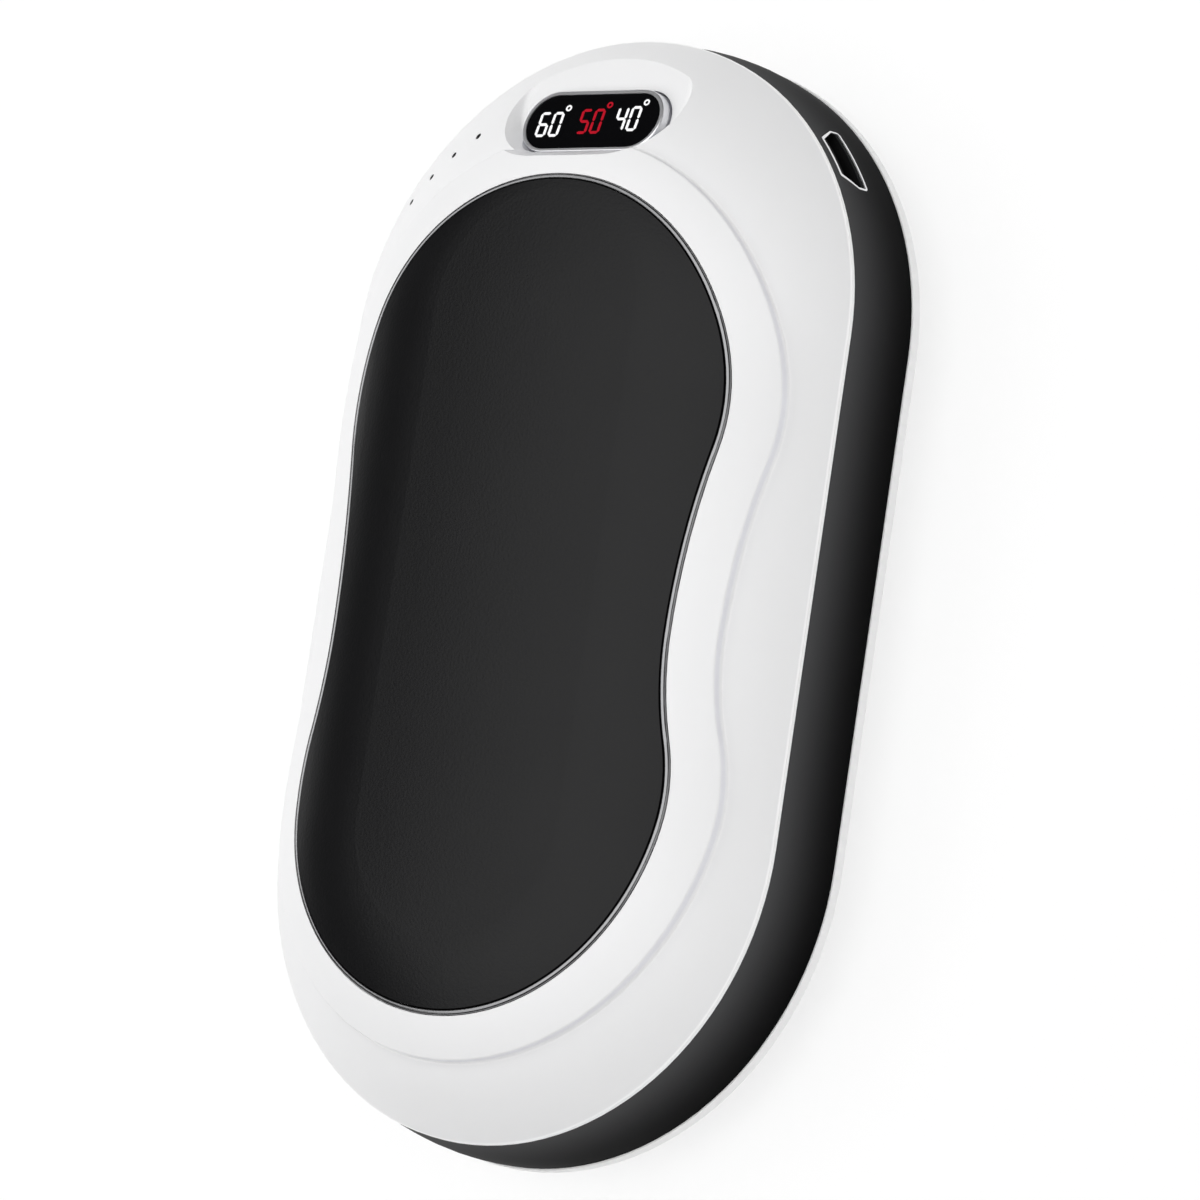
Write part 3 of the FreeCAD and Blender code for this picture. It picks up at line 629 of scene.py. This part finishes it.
@dataclass
class PressKey(SubAssembly):
    """The press key with its lit temperature numerals. Sizes are in millimetres on the window's face."""

    nodes: tuple[str, ...] = ("key_bezel", "key_lens", "light_guide")
    body: str = "key"
    numeral_height: float = 2.55
    numeral_width: float = 1.0
    numeral_pitch: float = 1.57
    bar_width: float = 0.3
    bar_gap: float = 0.02
    degree_radius: float = 0.36
    degree_bar: float = 0.19
    degree_right: float = 0.4
    degree_up: float = 0.56
    degree_sides: int = 20
    print_height: float = 0.02
    least_rise: float = 0.5
    readings: tuple[Reading, ...] = (
        Reading("reading_high", "60", -6.5, -1.55, "milky_plastic", "lit_white"),
        Reading("reading_middle", "50", -1.55, -1.3, "red_sleeve", "lit_red"),
        Reading("reading_low", "40", 2.85, -1.1, "milky_plastic", "lit_white"),
    )

    def face_frame(self) -> Matrix:
        """Find the window's face in the frame.

        Returns:
            Matrix from face coordinates (along, up, out) in metres to the shared frame.
        """
        window = frame["nodes"]["key_lens"].data
        upward = (polygon for polygon in window.polygons if polygon.normal.z > self.least_rise)
        face = max(upward, key=lambda polygon: polygon.area)
        out = face.normal.copy()
        along = Vector((1.0, 0.0, 0.0))
        up = out.cross(along).normalized()
        low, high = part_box("key_lens")
        middle = (low + high) / 2
        middle.z += out.dot(face.center - middle) / out.z
        turn = Matrix((along, up, out)).transposed().to_4x4()
        return Matrix.Translation(middle) @ turn

    def bar(self, mesh: bmesh.types.BMesh, start: Vector, end: Vector) -> None:
        """Add one pointed bar of a numeral.

        Args:
            mesh: Mesh that gets the bar, in face millimetres.
            start: Where the bar starts.
            end: Where the bar ends.
        """
        run = (end - start).normalized()
        side = Vector((-run.y, run.x))
        half = self.bar_width / 2
        start = start + run * self.bar_gap
        end = end - run * self.bar_gap
        outline = (start, start + (run + side) * half, end + (side - run) * half, end,
                   end - (run + side) * half, start + (run - side) * half)
        mesh.faces.new([mesh.verts.new((point.x, point.y, 0.0)) for point in outline])

    def degree(self, mesh: bmesh.types.BMesh, middle: Vector) -> None:
        """Add the small ring of a degree mark.

        Args:
            mesh: Mesh that gets the ring, in face millimetres.
            middle: Centre of the ring.
        """
        turns = [2 * math.pi * step / self.degree_sides for step in range(self.degree_sides)]
        outer, inner = (
            [mesh.verts.new((middle.x + radius * math.cos(turn), middle.y + radius * math.sin(turn), 0.0))
             for turn in turns]
            for radius in (self.degree_radius, self.degree_radius - self.degree_bar))
        for step in range(self.degree_sides):
            after = (step + 1) % self.degree_sides
            mesh.faces.new((outer[step], outer[after], inner[after], inner[step]))

    def build_reading(self, reading: Reading) -> None:
        """Build one temperature reading on the window.

        Args:
            reading: The reading to build.
        """
        mesh = bmesh.new()
        first_corner = Vector((reading.left, reading.base_line))
        half = self.numeral_height / 2
        for index, numeral in enumerate(reading.numerals):
            corner = first_corner + Vector((index * self.numeral_pitch, 0.0))
            for segment in NUMERALS[numeral]:
                start, end = (corner + Vector((x * self.numeral_width, y * half)) for x, y in segment.value)
                self.bar(mesh, start, end)
        top_right = first_corner + Vector((self.numeral_pitch + self.numeral_width, self.numeral_height))
        self.degree(mesh, top_right + Vector((self.degree_right, self.degree_up)))
        lifted = bmesh.ops.extrude_face_region(mesh, geom=mesh.faces[:])
        raised = [item for item in lifted["geom"] if isinstance(item, bmesh.types.BMVert)]
        bmesh.ops.translate(mesh, verts=raised, vec=(0.0, 0.0, self.print_height))
        bmesh.ops.transform(mesh, matrix=self.face_frame() @ Matrix.Scale(MM, 4), verts=mesh.verts)
        self.piece(reading.name, mesh, self.body, reading.slot, reading.finish)

    def build_readings(self) -> None:
        """Build the three readings, of which the middle one is lit red."""
        for reading in self.readings:
            self.build_reading(reading)


@dataclass
class ChargingSocket(SubAssembly):
    """The charging socket in the band."""

    nodes: tuple[str, ...] = ("usb_socket", "usb_tongue")
    own_finishes: tuple[tuple[str, str], ...] = (("usb_tongue", "socket_insert"),)


@dataclass
class ControlBoard(SubAssembly):
    """The circuit board with the switch and the lights."""

    nodes: tuple[str, ...] = ("main_board", "switch_body", "switch_plunger", "temperature_leds", "level_leds",
                              "control_chips", "power_coil", "capacitors", "battery_plug", "board_screws")


@dataclass
class CellPack(SubAssembly):
    """The two round cells with their strips, leads and pads."""

    nodes: tuple[str, ...] = ("cell_left", "cell_right", "positive_strip", "negative_strip", "positive_lead",
                              "negative_lead", "cell_pads")


@dataclass
class PhotoCamera:
    """The camera that sees the object as the photograph does.

    Angles are in degrees, the lens in millimetres and the other lengths in metres.
    """

    azimuth: float = 73.432
    elevation: float = 51.224
    roll: float = -68.423
    distance: float = 0.9832
    lens: float = 302.46
    target: tuple[float, float, float] = (0.002833, -0.000562, 0.01385)

    def build(self) -> None:
        """Create the camera and make it the scene's."""
        around, above, roll = (math.radians(angle) for angle in (self.azimuth, self.elevation, self.roll))
        level = Vector((math.cos(around), math.sin(around), 0.0))
        away = Vector((math.sin(around), -math.cos(around), 0.0))
        back = away * math.cos(above) + Vector((0.0, 0.0, math.sin(above)))
        right = level * math.cos(roll) + back.cross(level) * math.sin(roll)
        data = bpy.data.cameras.new("photo_camera")
        data.lens = self.lens
        camera = bpy.data.objects.new("photo_camera", data)
        bpy.context.scene.collection.objects.link(camera)
        turn = Matrix((right, back.cross(right), back)).transposed().to_4x4()
        camera.matrix_world = Matrix.Translation(Vector(self.target) + back * self.distance) @ turn
        bpy.context.scene.camera = camera
        log.info("placed the camera")


@dataclass
class Lamp:
    """One soft box, aimed at a point. Lengths in metres, power in watts."""

    name: str
    place: tuple[float, float, float]
    size: tuple[float, float]
    power: float
    aim: tuple[float, float, float] = (0.0, 0.0, 0.0)
    mirrored: bool = True

    def build(self) -> None:
        """Create the lamp."""
        data = bpy.data.lights.new(self.name, "AREA")
        data.shape = "RECTANGLE"
        data.size, data.size_y = self.size
        data.energy = self.power
        lamp = bpy.data.objects.new(self.name, data)
        lamp.visible_glossy = self.mirrored
        lamp.location = self.place
        lamp.rotation_euler = (Vector(self.aim) - Vector(self.place)).to_track_quat("-Z", "Y").to_euler()
        bpy.context.scene.collection.objects.link(lamp)
        log.info("hung %s", self.name)


@dataclass
class Studio:
    """Plain pale floor and soft light. Lengths in metres."""

    floor_half: float = 4.0
    floor_cells: int = 8
    sky_low: float = 0.03
    sky_high: float = 0.07
    lamps: tuple[Lamp, ...] = (
        Lamp("box_above", (-0.02, -0.05, 1.3), (2.44, 1.9), 25.4, aim=(-0.02, -0.05, 0.0)),
        Lamp("box_middle", (-0.05, 0.0, 1.28), (1.5, 1.4), 3.4, aim=(-0.05, 0.0, 0.0)),
        Lamp("box_right", (1.35, -0.2, 0.3), (1.0, 0.5), 2.4),
        Lamp("box_left", (-1.25, 0.35, 0.33), (1.3, 0.5), 5.2, mirrored=False),
    )

    def build(self) -> None:
        """Create the lamps, the floor and the sky."""
        bpy.context.scene.view_settings.view_transform = "Standard"
        for lamp in self.lamps:
            lamp.build()
        self.build_floor()
        self.build_sky()
        log.info("lit the studio")

    def build_floor(self) -> None:
        """Create the floor under the object."""
        mesh = bmesh.new()
        bmesh.ops.create_grid(mesh, x_segments=self.floor_cells, y_segments=self.floor_cells,
                              size=self.floor_half)
        data = bpy.data.meshes.new("floor")
        mesh.to_mesh(data)
        mesh.free()
        floor = bpy.data.objects.new("floor", data)
        data.materials.append(SHELF.get("studio_floor"))
        bpy.context.scene.collection.objects.link(floor)

    def build_sky(self) -> None:
        """Create a sky that is dim at the horizon and brighter overhead."""
        world = bpy.data.worlds.new("studio_sky")
        world.use_nodes = True
        tree = world.node_tree
        background = tree.nodes["Background"]
        background.inputs["Color"].default_value = (1.0, 1.0, 1.0, 1.0)
        ramp = upward_ramp(tree, "Generated")
        ramp.inputs["To Min"].default_value = self.sky_low
        ramp.inputs["To Max"].default_value = self.sky_high
        tree.links.new(ramp.outputs["Result"], background.inputs["Strength"])
        bpy.context.scene.world = world


def main() -> None:
    """Build the scene around the frame."""
    logging.basicConfig(level=logging.INFO, format="%(message)s")
    key = PressKey()
    for assembly in (Casing(), HeatPanel(), key, ChargingSocket(), ControlBoard(), CellPack()):
        assembly.dress()
    key.build_readings()
    Studio().build()
    PhotoCamera().build()


if __name__ == "__main__":
    main()
